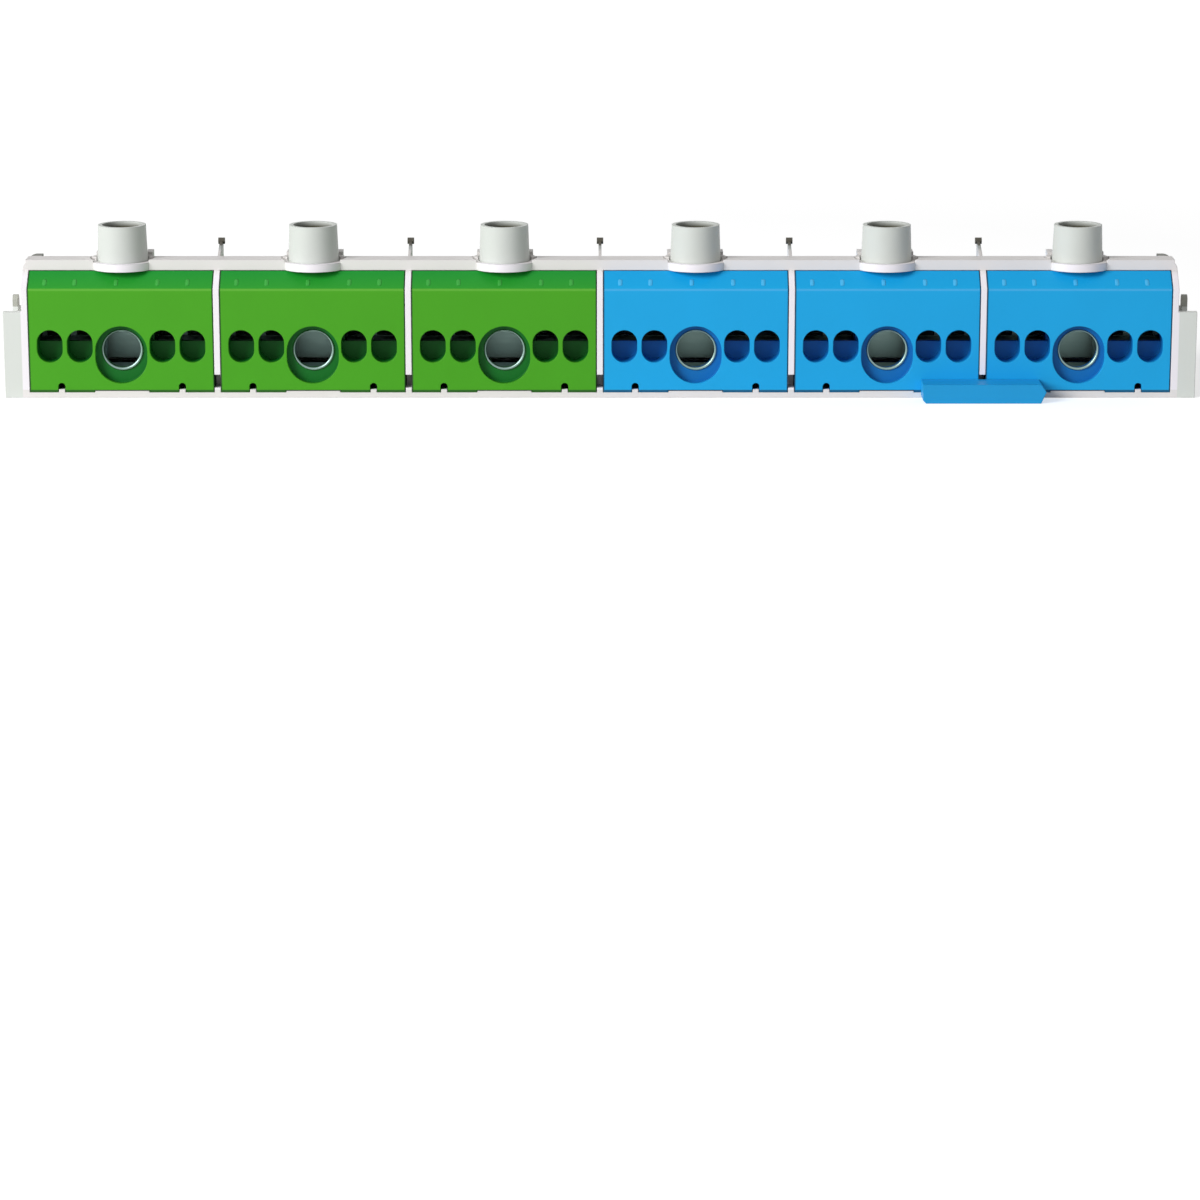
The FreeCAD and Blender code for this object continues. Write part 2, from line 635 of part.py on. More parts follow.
def busbar():
    """Upright strip across the block, with a tongue into the cage, two shelves and two forked legs."""
    body = new_body("busbar")
    strip = front_sketch(body, "strip", BAR_FRONT)
    rectangle(strip, f"-{BAR_X}", BAR_X, "bar_bottom", "bar_top")
    pad(body, strip, "bar_thick", rearwards=True)
    tongue = plan_sketch(body, "tongue", TONGUE_TOP)
    rectangle(tongue, f"running - {CAGE_IN}", f"{CAGE_IN} - running", "front_wall + tongue_set", BAR_FRONT)
    pad(body, tongue, "tongue_thick", rearwards=True)
    shelves = plan_sketch(body, "shelves", SHELF_TOP)
    legs = front_sketch(body, "legs", BAR_FRONT)
    forks = front_sketch(body, "forks", BAR_FRONT)
    for side in (-1, 1):
        rectangle(shelves, f"{side}*({PARTITION_X} + play)", f"{side}*{BAR_X}", "push_wall + shelf_set",
                  BAR_FRONT)
        leg = f"{side}*leg_x"
        rectangle(legs, f"{leg} - leg_width/2", f"{leg} + leg_width/2", "ledge + play", "bar_bottom")
        rectangle(forks, f"{leg} - {NOTCH_HALF}", f"{leg} + {NOTCH_HALF}", "ledge + play", NOTCH_TOP)
    pad(body, shelves, "bar_thick", rearwards=True)
    pad(body, legs, "bar_thick", rearwards=True)
    pocket(body, forks, "bar_thick")
    round_edges(body, ALONG_Z, lambda at: near(at.y, "front_wall + tongue_set"), "tongue_thick/2",
                "tongue_corners")
    return tidy(body)


def contact_springs():
    """Four bent leaf springs, which press the wires of the push-in contacts on the shelves."""
    body = new_body("contact_springs")
    body.AllowCompound = True
    leg_y = f"({BAR_FRONT} - play - spring_thick/2)"
    for number, across in enumerate((f"-{PUSH_2}", f"-{PUSH_1}", PUSH_1, PUSH_2), start=1):
        route = side_sketch(body, f"route_{number}", across)
        polygon(route, [
            (leg_y, "spring_foot"), (leg_y, "spring_top"), (f"{leg_y} - spring_reach", "spring_top"),
            (f"{leg_y} - spring_back", f"{SHELF_TOP} + spring_lift + spring_thick/2")], closed=False)
        strip = plan_sketch(body, f"strip_{number}", "spring_foot")
        rectangle(strip, f"{across} - spring_width/2", f"{across} + spring_width/2",
                  f"{leg_y} - spring_thick/2", f"{leg_y} + spring_thick/2")
        feature = body.newObject("PartDesign::AdditivePipe", f"leaf_{number}")
        feature.Profile = strip
        feature.Spine = (route, [""])
        feature.Transition = "Round corner"
        finish_feature(body, feature, grows=True)
    return body


def clamp_cage():
    """Square loop that a turning screw draws up, with the wire in it, against the tongue."""
    body = new_body("clamp_cage")
    loop = front_sketch(body, "loop", "front_wall + running")
    rectangle(loop, f"-{CAGE_OUT}", CAGE_OUT, CAGE_BOTTOM, CAGE_UP)
    pad(body, loop, "cage_depth", rearwards=True)
    round_edges(body, ALONG_Y, lambda at: near(abs(at.x), CAGE_OUT), "cage_round", "bends")
    room = front_sketch(body, "room", "front_wall + running")
    rectangle(room, f"-{CAGE_IN}", CAGE_IN, CAGE_INSIDE, CAGE_ROOF)
    pocket(body, room, "cage_depth")
    thread = plan_sketch(body, "thread", CAGE_UP)
    circle(thread, "0", AXIS_Y, "screw_size/2 + play")
    pocket(body, thread, "cage_top")
    return tidy(body)


def clamp_screw():
    """Screw with a cross recess; its tip bears on the tongue."""
    body = new_body("clamp_screw")
    half = side_sketch(body, "section")
    tip = f"{TONGUE_TOP} + play"
    polygon(half, [
        (AXIS_Y, tip), (f"{AXIS_Y} + screw_size/2 - play", tip), (f"{AXIS_Y} + screw_size/2", f"{tip} + 4*play"),
        (f"{AXIS_Y} + screw_size/2", BAY_TOP), (f"{AXIS_Y} + head_size/2", BAY_TOP),
        (f"{AXIS_Y} + head_size/2", f"{HEAD_UP} - 2*play"), (f"{AXIS_Y} + head_size/2 - 2*play", HEAD_UP),
        (AXIS_Y, HEAD_UP)])
    revolved(body, half)
    cross = plan_sketch(body, "cross", HEAD_UP)
    near_side, far_side = "drive_width/2", "drive_length/2"
    polygon(cross, [
        (f"{across}", f"{AXIS_Y} + {up}") for across, up in (
            (near_side, near_side), (near_side, far_side), (f"-{near_side}", far_side),
            (f"-{near_side}", near_side), (f"-{far_side}", near_side), (f"-{far_side}", f"-{near_side}"),
            (f"-{near_side}", f"-{near_side}"), (f"-{near_side}", f"-{far_side}"),
            (near_side, f"-{far_side}"), (near_side, f"-{near_side}"), (far_side, f"-{near_side}"),
            (far_side, near_side))])
    pocket(body, cross, "drive_depth")
    return tidy(body)


def bridge_cover():
    """Low bar in front of two blocks, slotted at the rear for the link; its right end is pointed."""
    body = new_body("bridge_cover")
    front = front_sketch(body, "front", "-cover_proud")
    middle = way_x(4.5)
    polygon(front, [
        (f"{middle} - {COVER_HALF} + cover_chamfer", "0"), (f"{middle} + {COVER_HALF} - cover_tip", "0"),
        (f"{middle} + {COVER_HALF}", "cover_rise"), (f"{middle} + {COVER_HALF} - cover_tip", "cover_height"),
        (f"{middle} - {COVER_HALF}", "cover_height"), (f"{middle} - {COVER_HALF}", "cover_chamfer")])
    pad(body, front, "cover_proud - play", rearwards=True)
    slot = front_sketch(body, "link_slot", "link_front - cover_proud - play")
    reach = f"({PRONG} + link_width/2 + play)"
    rectangle(slot, f"{middle} - {reach}", f"{middle} + {reach}", f"{LINK_BOTTOM} - play", NOTCH_TOP)
    pocket(body, slot, "cover_proud")
    return tidy(body)


def bridge_link():
    """Flat copper fork: a cross bar in the cover and two prongs that reach the forked legs."""
    body = new_body("bridge_link")
    plan = plan_sketch(body, "plan", LINK_BOTTOM)
    middle = way_x(4.5)
    front = "link_front - cover_proud"
    outer, inner = f"({PRONG} + link_width/2)", f"({PRONG} - link_width/2)"
    polygon(plan, [
        (f"{middle} - {outer}", front), (f"{middle} + {outer}", front), (f"{middle} + {outer}", BAR_BACK),
        (f"{middle} + {inner}", BAR_BACK), (f"{middle} + {inner}", f"{front} + link_bar"),
        (f"{middle} - {inner}", f"{front} + link_bar"), (f"{middle} - {inner}", BAR_BACK),
        (f"{middle} - {outer}", BAR_BACK)])
    pad(body, plan, "link_thick")
    return body


def placed(name, piece, way):
    """The same piece again, at one way of the bar."""
    link = doc.addObject("App::Link", name)
    link.LinkedObject = piece
    link.Label = name
    link.setExpression("Placement.Base.x", bound(way_x(way)))
    link.setExpression("Placement.Base.y", bound(CENTRE_Y))
    return link


pieces = []
for single in (carrier(), bridge_cover(), bridge_link()):
    single.setExpression("Placement.Base.y", bound(CENTRE_Y))
    pieces.append(single)
block_names = ["block_pe_1", "block_pe_2", "block_pe_3", "block_n_1", "block_n_2", "block_n_3"]
block = terminal_block()
inner_pieces = {"guide_sleeve": guide_sleeve(), "busbar": busbar(), "contact_springs": contact_springs(),
                "clamp_cage": clamp_cage(), "clamp_screw": clamp_screw()}
for way in WAYS:
    pieces.append(placed(block_names[way], block, way))
    for kind, piece in inner_pieces.items():
        pieces.append(placed(f"{kind}_{way + 1}", piece, way))
doc.recompute()

for item in doc.Objects:
    if {"Invalid", "Error"} & set(item.State):
        raise RuntimeError(f"{item.Label} failed: {item.State}")
os.makedirs("parts", exist_ok=True)
for item in pieces:
    shape = Part.getShape(item)
    if shape.isNull() or not shape.isValid() or not shape.Solids:
        raise RuntimeError(f"{item.Label} has no valid shape")
    shape.exportStep(f"parts/{item.Label}.step")
    print(item.Label, len(shape.Solids), round(shape.Volume, 2))
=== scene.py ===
import bmesh
import bpy
import numpy as np
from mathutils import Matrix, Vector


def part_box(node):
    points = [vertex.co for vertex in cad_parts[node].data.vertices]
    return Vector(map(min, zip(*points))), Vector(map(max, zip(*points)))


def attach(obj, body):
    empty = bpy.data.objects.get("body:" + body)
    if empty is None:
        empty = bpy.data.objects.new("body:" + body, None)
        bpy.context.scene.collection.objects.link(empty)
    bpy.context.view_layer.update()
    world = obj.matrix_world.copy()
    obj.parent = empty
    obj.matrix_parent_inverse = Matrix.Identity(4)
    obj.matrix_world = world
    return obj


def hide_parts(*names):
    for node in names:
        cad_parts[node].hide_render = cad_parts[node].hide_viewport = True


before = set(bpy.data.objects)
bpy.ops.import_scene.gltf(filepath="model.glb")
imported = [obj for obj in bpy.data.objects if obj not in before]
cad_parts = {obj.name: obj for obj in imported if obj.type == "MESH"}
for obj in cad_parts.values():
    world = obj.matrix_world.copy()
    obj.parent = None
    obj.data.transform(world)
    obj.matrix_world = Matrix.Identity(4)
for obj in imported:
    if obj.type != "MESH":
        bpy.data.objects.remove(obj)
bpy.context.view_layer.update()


# Carrier
# The long light grey moulding that everything is pushed into: a ledge and a flange with thin dividers
# between them. It is injection moulded in polyamide from a spark eroded mould, so it has a fine satin
# grain and edges rounded by a few tenths of a millimetre.

MM = 0.001
WAYS = range(1, 7)
CLOUD, GRAIN, GRAIN_DEPTH, ROUNDING = 9 * MM, 0.5 * MM, 0.03 * MM, 0.2 * MM
CLOUD_TONE, GRAIN_GLOSS = 0.04, 0.06
POLYAMIDE_IOR, POLYAMIDE_MIRROR = 1.53, 0.2


def linear(code):
    """An sRGB hex colour as linear red, green, blue and alpha: (c / 12.92) below 0.04045, else
    ((c + 0.055) / 1.055) to the power 2.4."""
    parts = np.array([int(code[place:place + 2], 16) for place in (1, 3, 5)]) / 255
    low, high = parts / 12.92, ((parts + 0.055) / 1.055) ** 2.4
    return (*np.where(parts <= 0.04045, low, high).tolist(), 1.0)


def new_material(name):
    """An empty node material: gives the material and its node tree."""
    material = bpy.data.materials.new(name)
    material.use_nodes = True
    material.node_tree.nodes.clear()
    return material, material.node_tree


def add(tree, kind, sockets=None, **settings):
    """Add one node: settings are its own properties, sockets its inputs' values or what feeds them."""
    node = tree.nodes.new(kind)
    for name, setting in settings.items():
        setattr(node, name, setting)
    for name, value in (sockets or {}).items():
        if isinstance(value, bpy.types.NodeSocket):
            tree.links.new(value, node.inputs[name])
        else:
            node.inputs[name].default_value = value
    return node


def moulded_plastic(name, code, roughness, shade=None, marks=None):
    """Moulded polyamide: a satin body with the mould's spark eroded grain and softly rounded edges.

    The colour clouds by 4% over about 9 mm. The real grain is about 0.1 mm, too fine to show in the
    render, so it is drawn at 0.5 mm. The glass in it dulls the mirror image, so the specular level is low.
    shade and marks take the tree and the place: shade turns the plain colour into another, and marks gives
    a height in metres."""
    material, tree = new_material(name)
    place = add(tree, "ShaderNodeTexCoord").outputs["Object"]
    cloud = add(tree, "ShaderNodeTexNoise", {"Vector": place, "Scale": 1 / CLOUD,
                                             "Detail": 2.0}).outputs["Fac"]
    darker, paler = ([level * part for part in linear(code)[:3]] + [1.0]
                     for level in (1 - CLOUD_TONE, 1 + CLOUD_TONE))
    tone = add(tree, "ShaderNodeMix", {0: cloud, 6: darker, 7: paler}, data_type="RGBA").outputs[2]
    if shade:
        tone = shade(tree, place, tone)
    grain = add(tree, "ShaderNodeTexNoise", {"Vector": place, "Scale": 1 / GRAIN, "Detail": 3.0,
                                             "Roughness": 0.6}).outputs["Fac"]
    rounded = add(tree, "ShaderNodeBevel", {"Radius": ROUNDING}, samples=4).outputs["Normal"]
    if marks:
        rounded = add(tree, "ShaderNodeBump", {"Height": marks(tree, place), "Distance": 1.0,
                                               "Normal": rounded}).outputs["Normal"]
    rough = add(tree, "ShaderNodeBump", {"Height": grain, "Strength": 0.12, "Distance": GRAIN_DEPTH,
                                         "Normal": rounded}).outputs["Normal"]
    sheen = add(tree, "ShaderNodeMapRange", {"Value": grain, "To Min": roughness - GRAIN_GLOSS,
                                             "To Max": roughness + GRAIN_GLOSS}).outputs["Result"]
    body = add(tree, "ShaderNodeBsdfPrincipled", {"Base Color": tone, "Roughness": sheen,
                                                  "IOR": POLYAMIDE_IOR,
                                                  "Specular IOR Level": POLYAMIDE_MIRROR, "Normal": rough})
    add(tree, "ShaderNodeOutputMaterial", {"Surface": body.outputs["BSDF"]})
    return material


def finish_node(node, material):
    """Give a CAD node its finish in place of the plain one."""
    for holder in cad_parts[node].material_slots:
        holder.material = material


# Two colours of one moulding meet over FADE. The ears at the ends are a cooler grey than the rest, and
# their rails a darker one. The top of the flange is painted a little darker as painted shade, with a painted
# shadow line on the rim at each end, and the stems behind it have dark grey beads. Each row gives a colour,
# how far from the middle of the bar, how high up and how far back it starts, and the height over which it
# comes in.
FADE = 0.1 * MM
EVERYWHERE = -20 * MM
GREYS_AND_PAINTED_SHADE = [
    ("#dfe3de", 96.6 * MM, EVERYWHERE, EVERYWHERE, FADE),       # ears
    ("#aeb0a6", 96.6 * MM, 14.55 * MM, EVERYWHERE, FADE),       # rails on the ears
    # painted shade: the top of the flange, which takes less light than the front
    ("#dad6d4", EVERYWHERE, 22.75 * MM, EVERYWHERE, FADE),      # top of the flange
    # painted shadow: a dark line on the rim at each end of the flange
    ("#67685f", 93.7 * MM, 22.20 * MM, 0.0 * MM, FADE),         # rims at the flange's ends
    ("#a9aeac", EVERYWHERE, 23.35 * MM, EVERYWHERE, 0.4 * MM),  # stems
    ("#57544b", EVERYWHERE, 23.90 * MM, EVERYWHERE, 0.2 * MM),  # beads on the stems
]
LIT_EDGE, FLANGE_FACE, STRIP_TOP = -5.3 * MM, -4.2 * MM, 1.4 * MM
BACK_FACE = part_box("carrier")[1][1]
BACK_SKIN = BACK_FACE - 0.05 * MM, BACK_FACE - 0.04 * MM
PITCH = 32 * MM
PIN_RADIUS, PIN_HEIGHT, PIN_LINE, PIN_DEPTH = 1.5 * MM, 12 * MM, 0.05 * MM, 0.04 * MM


def carrier_greys_and_painted_light(tree, place, tone):
    """The plain colour with the other greys laid over it, among them painted shade, each one outwards of,
    above and behind its start.

    Under them, what stands in front of the flange and above the strip along the foot, which is the edges of
    the dividers and the bosses, is painted nearly white: a painted highlight on the faces turned to the
    light."""
    axes = add(tree, "ShaderNodeSeparateXYZ", {"Vector": place}).outputs
    # Painted highlight: the edges of the dividers and the bosses in front of the flange are painted nearly
    # white.
    painted_highlight = add(tree, "ShaderNodeMapRange", {"Value": axes["Y"], "From Min": LIT_EDGE,
                                             "From Max": FLANGE_FACE, "To Min": 1.0,
                                             "To Max": 0.0}).outputs[0]
    above = add(tree, "ShaderNodeMapRange", {"Value": axes["Z"], "From Min": STRIP_TOP - FADE,
                                             "From Max": STRIP_TOP}).outputs[0]
    part = add(tree, "ShaderNodeMath", {0: painted_highlight, 1: above}, operation="MULTIPLY").outputs[0]
    tone = add(tree, "ShaderNodeMix", {0: part, 6: tone, 7: linear("#faf5fb")}, data_type="RGBA").outputs[2]
    across = add(tree, "ShaderNodeMath", {0: axes["X"]}, operation="ABSOLUTE").outputs[0]
    for code, outwards, upwards, rearwards, fade in GREYS_AND_PAINTED_SHADE:
        out = add(tree, "ShaderNodeMapRange", {"Value": across, "From Min": outwards,
                                               "From Max": outwards + FADE}).outputs[0]
        above = add(tree, "ShaderNodeMapRange", {"Value": axes["Z"], "From Min": upwards,
                                                 "From Max": upwards + fade}).outputs[0]
        back = add(tree, "ShaderNodeMapRange", {"Value": axes["Y"], "From Min": rearwards,
                                                "From Max": rearwards + FADE}).outputs[0]
        part = add(tree, "ShaderNodeMath", {0: out, 1: above}, operation="MULTIPLY").outputs[0]
        part = add(tree, "ShaderNodeMath", {0: part, 1: back}, operation="MULTIPLY").outputs[0]
        tone = add(tree, "ShaderNodeMix", {0: part, 6: tone, 7: linear(code)}, data_type="RGBA").outputs[2]
    return tone


def from_bay_middle(tree, x):
    """How far across from the middle of its bay a place is: x folded to one pitch, less half of it."""
    folded = add(tree, "ShaderNodeMath", {0: x, 1: PITCH, 2: 0.0}, operation="WRAP").outputs[0]
    return add(tree, "ShaderNodeMath", {0: folded, 1: PITCH / 2}, operation="SUBTRACT").outputs[0]


def distance(tree, across, along, middle):
    """How far a place is from (0, middle) in the flat of two axes: the root of across squared plus along,
    less the middle, squared."""
    along = add(tree, "ShaderNodeMath", {0: along, 1: middle}, operation="SUBTRACT").outputs[0]
    flat = add(tree, "ShaderNodeCombineXYZ", {"X": across, "Y": along}).outputs[0]
    return add(tree, "ShaderNodeVectorMath", {0: flat}, operation="LENGTH").outputs["Value"]


def ejector_marks(tree, place):
    """Rings 0.04 mm deep where the mould's ejector pins pushed, one in the back wall of each bay.

    A ring is where the distance from the pin's middle is the pin's radius, and only within a skin of the
    back face."""
    axes = add(tree, "ShaderNodeSeparateXYZ", {"Vector": place}).outputs
    far = distance(tree, from_bay_middle(tree, axes["X"]), axes["Z"], PIN_HEIGHT)
    off = add(tree, "ShaderNodeMath", {0: far, 1: PIN_RADIUS}, operation="SUBTRACT").outputs[0]
    off = add(tree, "ShaderNodeMath", {0: off}, operation="ABSOLUTE").outputs[0]
    ring = add(tree, "ShaderNodeMapRange", {"Value": off, "From Min": PIN_LINE, "From Max": PIN_LINE + FADE,
                                            "To Min": -PIN_DEPTH, "To Max": 0.0}).outputs[0]
    rear = add(tree, "ShaderNodeMapRange", {"Value": axes["Y"], "From Min": BACK_SKIN[0],
                                            "From Max": BACK_SKIN[1]}).outputs[0]
    return add(tree, "ShaderNodeMath", {0: ring, 1: rear}, operation="MULTIPLY").outputs[0]


light_grey = moulded_plastic("light_grey_polyamide", "#ebe7e6", roughness=0.42, shade=carrier_greys_and_painted_light,
                             marks=ejector_marks)
finish_node("carrier", light_grey)


# Rims of the bosses
# A low half rim at the back of each boss, in one with the carrier, which keeps dust out of the joint round
# the sleeve.

SLEEVES = [f"guide_sleeve_{way}" for way in WAYS]
RIM_INNER, RIM_OUTER, RIM_FOOT, RIM_TOP, RIM_CUT = 4.45 * MM, 5.35 * MM, 22.3 * MM, 22.85 * MM, 0.1 * MM
RIM_START, RIM_END, RIM_STEPS = np.radians(4), np.radians(176), 33
TOGETHER = 0.001 * MM


def surface(name, grid, material, body, sharp=40):
    """A closed piece from grids of points, shaped (pieces, rows, columns, 3): columns run round.

    Neighbouring points are joined by faces, the first and last rows close in a pole each, are capped or
    fall together, points that fall together are merged, and edges sharper than the given degrees are
    kept."""
    count, rows, columns = grid.shape[:3]
    index = np.arange(count * rows * columns).reshape(count, rows, columns)
    after = np.roll(index, -1, axis=2)
    faces = np.stack([index[:, :-1], after[:, :-1], after[:, 1:], index[:, 1:]], axis=-1).reshape(-1, 4)
    mesh = bpy.data.meshes.new(name)
    mesh.from_pydata(grid.reshape(-1, 3), [], faces.tolist())
    shell = bmesh.new()
    shell.from_mesh(mesh)
    bmesh.ops.remove_doubles(shell, verts=shell.verts, dist=TOGETHER)
    bmesh.ops.holes_fill(shell, edges=[edge for edge in shell.edges if edge.is_boundary], sides=0)
    bmesh.ops.recalc_face_normals(shell, faces=shell.faces)
    shell.to_mesh(mesh)
    shell.free()
    mesh.polygons.foreach_set("use_smooth", [True] * len(mesh.polygons))
    mesh.set_sharp_from_angle(angle=np.radians(sharp))
    mesh.materials.append(material)
    piece = bpy.data.objects.new(name, mesh)
    bpy.context.scene.collection.objects.link(piece)
    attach(piece, body)
    return piece


def half_rim(middle):
    """A rectangle with a rounded top, carried round the middle from one side of the boss to the other.

    The rectangle runs r = inner to outer and z = foot to top, and its upper corners are cut by 0.1 mm."""
    radius = np.array([RIM_INNER, RIM_OUTER, RIM_OUTER, RIM_OUTER - RIM_CUT, RIM_INNER + RIM_CUT, RIM_INNER])
    height = np.array([RIM_FOOT, RIM_FOOT, RIM_TOP - RIM_CUT, RIM_TOP, RIM_TOP, RIM_TOP - RIM_CUT])
    turn = np.linspace(RIM_START, RIM_END, RIM_STEPS)[:, None]
    x, y = middle[0] + radius * np.cos(turn), middle[1] + radius * np.sin(turn)
    return np.stack([x, y, np.broadcast_to(height, x.shape)], axis=-1)[None]


for way, sleeve in zip(WAYS, SLEEVES):
    surface(f"boss_rim_{way}", half_rim(np.mean(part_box(sleeve), axis=0)), light_grey, "bar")


# Guide sleeves
# Six short tubes that lead the blade of a screwdriver down to the clamp screws. The same polyamide as the
# carrier in a slightly greener grey, each pushed into the boss on the flange.

SLEEVE_AXIS = np.mean(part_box("guide_sleeve_1"), axis=0)[1]
SLEEVE_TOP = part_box("guide_sleeve_1")[1][2]
BORE, BORE_PALE, BORE_DARK = 3.35 * MM, 0.1 * MM, 0.9 * MM


def painted_bore_shade(tree, place, tone):
    """Painted shade down the bore: the colour darkens from 0.1 mm below the rim to an olive grey at 0.9 mm.
    """
    axes = add(tree, "ShaderNodeSeparateXYZ", {"Vector": place}).outputs
    far = distance(tree, from_bay_middle(tree, axes["X"]), axes["Y"], SLEEVE_AXIS)
    inside = add(tree, "ShaderNodeMapRange", {"Value": far, "From Min": BORE, "From Max": BORE + FADE,
                                              "To Min": 1.0, "To Max": 0.0}).outputs[0]
    below = add(tree, "ShaderNodeMapRange", {"Value": axes["Z"], "From Min": SLEEVE_TOP - BORE_DARK,
                                             "From Max": SLEEVE_TOP - BORE_PALE, "To Min": 1.0,
                                             "To Max": 0.0}).outputs[0]
    # Painted shade inside the bore, below its rim.
    dark = add(tree, "ShaderNodeMath", {0: inside, 1: below}, operation="MULTIPLY").outputs[0]
    return add(tree, "ShaderNodeMix", {0: dark, 6: tone, 7: linear("#4c4a36")}, data_type="RGBA").outputs[2]


sleeve_grey = moulded_plastic("sleeve_grey_polyamide", "#d3d7d2", roughness=0.45, shade=painted_bore_shade)
for sleeve in SLEEVES:
    finish_node(sleeve, sleeve_grey)


# Terminal blocks
# Six housings that hold the live metal, green for earth and blue for neutral. Dyed, glass filled polyamide
# with the same satin grain. The sloped band along the top of each is painted a little darker, most in the
# green, as painted shade under the flange.

EARTH_WAYS = 3
BLOCKS = [f"block_pe_{number}" for number in (1, 2, 3)] + [f"block_n_{number}" for number in (1, 2, 3)]
BLOCK_MIDDLES = [np.mean(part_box(block), axis=0)[0] for block in BLOCKS]
(BLOCK_LEFT, FRONT, BLOCK_FOOT), (BLOCK_RIGHT, _, BLOCK_TOP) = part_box("block_pe_1")
BLOCK_HALF = (BLOCK_RIGHT - BLOCK_LEFT) / 2
BAND_HEIGHT, BAND_DEPTH = 2.55 * MM, 3.05 * MM
FACE_TOP = BLOCK_TOP - BAND_HEIGHT
FACE_SKIN, ENTRY_DARK = 0.2 * MM, 1.2 * MM
EDGE_LINE, EDGE_HALF, EDGE_FADE, EDGE_SHARE = FACE_TOP - 0.15 * MM, 0.1 * MM, 0.15 * MM, 0.5
GAP_SIDE, GAP_FOOT, GAP_FADE, GAP_SHARE = 0.08 * MM, 0.38 * MM, 0.12 * MM, 0.8


def block_tones_and_painted_light(low, high, edge, deep, gap):
    """A shade for a block, with the painted light on it: its colours are laid over one another, each where
    it belongs.

    The insides of the entries are the deep colour, a painted shade, from 0.2 to 1.2 mm behind the face. The
    sloping band goes from low at its foot to high at its top, a painted shade under the flange. Under it
    runs a pale line, half the edge colour, a painted highlight on the band's foot. The rim of the block at
    its sides and foot is four fifths the gap colour, a painted shadow of the gap round it."""
    def shade(tree, place, tone):
        x, y, z = add(tree, "ShaderNodeSeparateXYZ", {"Vector": place}).outputs
        # Painted shade: the insides of the entries, and all that lies deeper, take the deep colour.
        inside = add(tree, "ShaderNodeMapRange", {"Value": y, "From Min": FRONT + FACE_SKIN,
                                                  "From Max": FRONT + ENTRY_DARK}).outputs[0]
        tone = add(tree, "ShaderNodeMix", {0: inside, 6: tone, 7: linear(deep)}, data_type="RGBA").outputs[2]

        # Painted shade: the band darkens up towards the flange over it.
        climb = add(tree, "ShaderNodeMapRange", {"Value": z, "From Min": FACE_TOP,
                                                 "From Max": BLOCK_TOP}).outputs[0]
        band = add(tree, "ShaderNodeMix", {0: climb, 6: linear(low), 7: linear(high)},
                   data_type="RGBA").outputs[2]
        above = add(tree, "ShaderNodeMapRange", {"Value": z, "From Min": FACE_TOP,
                                                 "From Max": FACE_TOP + FADE}).outputs[0]
        tone = add(tree, "ShaderNodeMix", {0: above, 6: tone, 7: band}, data_type="RGBA").outputs[2]

        # Painted highlight: a pale line along the foot of the band.
        off = add(tree, "ShaderNodeMath", {0: z, 1: EDGE_LINE}, operation="SUBTRACT").outputs[0]
        off = add(tree, "ShaderNodeMath", {0: off}, operation="ABSOLUTE").outputs[0]
        near = add(tree, "ShaderNodeMapRange", {"Value": off, "From Min": EDGE_HALF,
                                                "From Max": EDGE_HALF + EDGE_FADE,
                                                "To Min": EDGE_SHARE, "To Max": 0.0}).outputs[0]
        outer = add(tree, "ShaderNodeMapRange", {"Value": y, "From Min": FRONT + FACE_SKIN,
                                                 "From Max": FRONT + FACE_SKIN + FADE,
                                                 "To Min": 1.0, "To Max": 0.0}).outputs[0]
        line = add(tree, "ShaderNodeMath", {0: near, 1: outer}, operation="MULTIPLY").outputs[0]
        tone = add(tree, "ShaderNodeMix", {0: line, 6: tone, 7: linear(edge)}, data_type="RGBA").outputs[2]

        # Painted shadow: the rim of the block beside the gap round it.
        aside = add(tree, "ShaderNodeMath", {0: from_bay_middle(tree, x)}, operation="ABSOLUTE").outputs[0]
        side = add(tree, "ShaderNodeMapRange", {"Value": aside, "From Min": BLOCK_HALF - GAP_SIDE - GAP_FADE,
                                                "From Max": BLOCK_HALF - GAP_SIDE,
                                                "To Max": GAP_SHARE}).outputs[0]
        under = add(tree, "ShaderNodeMapRange", {"Value": z, "From Min": BLOCK_FOOT + GAP_FOOT,
                                                 "From Max": BLOCK_FOOT + GAP_FOOT + GAP_FADE,
                                                 "To Min": GAP_SHARE, "To Max": 0.0}).outputs[0]
        rim = add(tree, "ShaderNodeMath", {0: side, 1: under}, operation="MAXIMUM").outputs[0]
        return add(tree, "ShaderNodeMix", {0: rim, 6: tone, 7: linear(gap)}, data_type="RGBA").outputs[2]
    return shade


green = moulded_plastic("green_polyamide", "#49a31e", roughness=0.45, shade=block_tones_and_painted_light(
    low="#2a992a", high="#0f8d2c", edge="#74c14a", deep="#096a20", gap="#1b3a1e"))
blue = moulded_plastic("blue_polyamide", "#1caae8", roughness=0.45, shade=block_tones_and_painted_light(
    low="#12a9e7", high="#0ca2e2", edge="#5cbcf2", deep="#0b70b8", gap="#1c3a55"))
for way, block in zip(WAYS, BLOCKS):
    finish_node(block, green if way <= EARTH_WAYS else blue)


# Raised marks on the bands
# A small plain bar over each wire entry, moulded with the block, which shows where a wire goes in. They
# lean back with the band and stand 0.04 mm out of it.

ENTRIES = np.array([-11.92, -6.9, 0.0, 6.9, 11.92]) * MM
MARK_LEFT, MARK_PLACE = 0.7 * MM, 0.36
MARK_HALF, MARK_RISE, MARK_SUNK = (0.36 * MM, 0.72 * MM), 0.06 * MM, 0.02 * MM
MARK_SQUARE, MARK_CROWN = 0.5, 0.3
MARK_STEPS, MARK_ROWS = 24, 6


